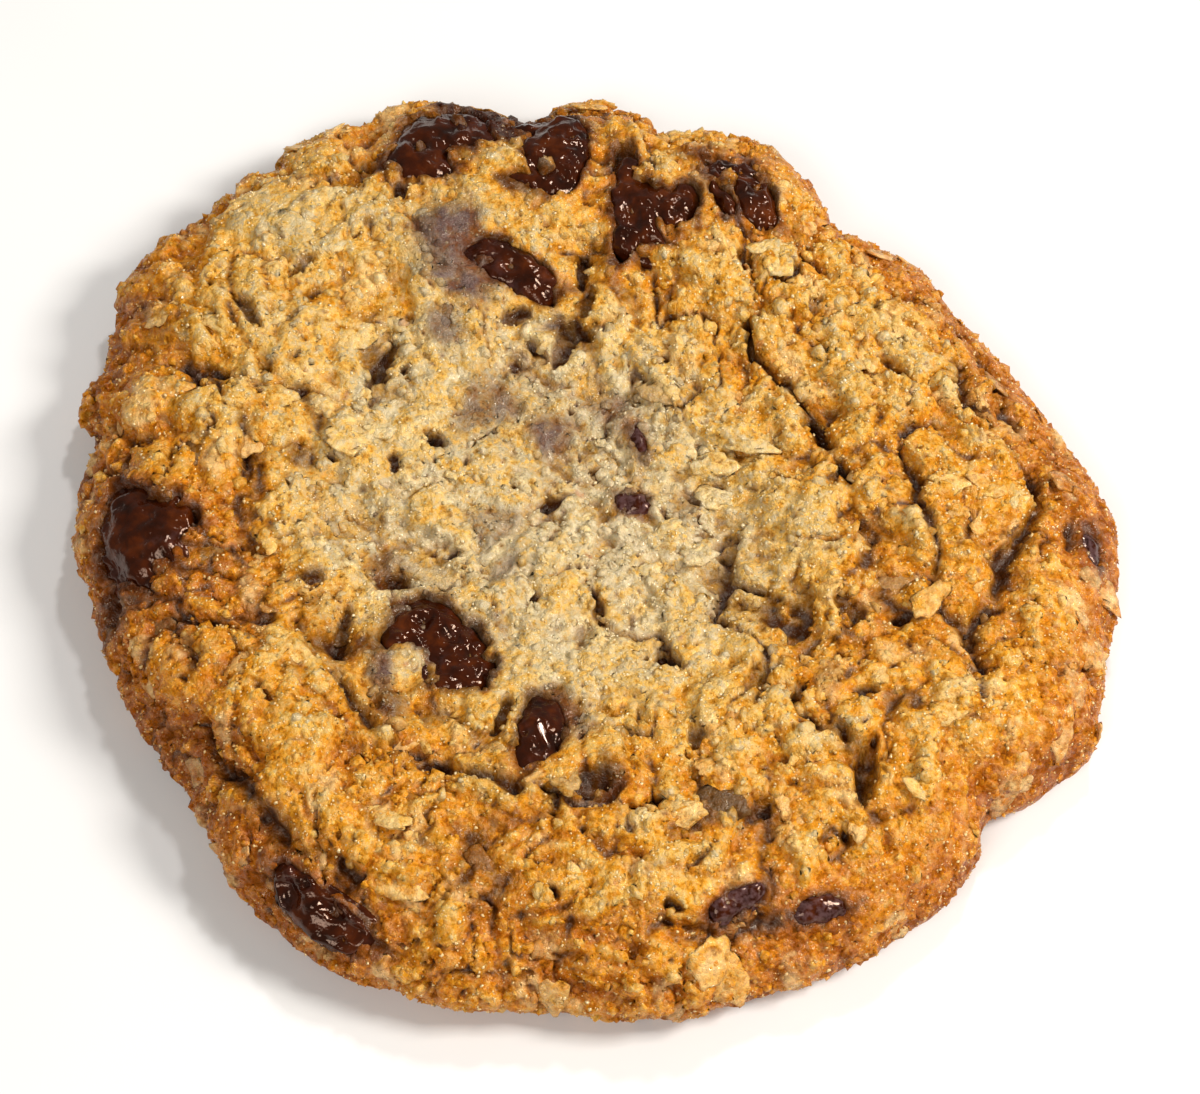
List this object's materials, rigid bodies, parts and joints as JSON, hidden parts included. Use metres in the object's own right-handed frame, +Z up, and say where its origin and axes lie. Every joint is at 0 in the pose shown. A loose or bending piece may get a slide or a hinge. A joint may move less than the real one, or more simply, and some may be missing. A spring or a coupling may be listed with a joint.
{
  "type": "chocolate chip cookie",
  "caption": "Round baked oat cookie with dark chocolate pieces, a raised craggy ring, a sunken middle and a flat base; lies on its base.",
  "frame": {"origin": "under the middle of the cookie's box, on the surface it rests on", "axes": "+Z up out of the top of the cookie; +X to the right and +Y away from the viewer in the picture"},
  "size_m": [0.091, 0.0938, 0.0119],
  "materials": {
    "baked_dough": "baked crust, uneven golden brown",
    "dark_chocolate": "half-melted and set again, glossy in places"
  },
  "bodies": {
    "root": {"cookie_dough": "baked_dough", "chocolate_far_left": "dark_chocolate", "chocolate_far_middle": "dark_chocolate", "chocolate_far_right": "dark_chocolate", "chocolate_far_edge": "dark_chocolate", "chocolate_upper": "dark_chocolate", "chocolate_left_rim": "dark_chocolate", "chocolate_lower": "dark_chocolate", "chocolate_small_upright": "dark_chocolate", "chocolate_near_rim": "dark_chocolate"}
  },
  "joints": []
}
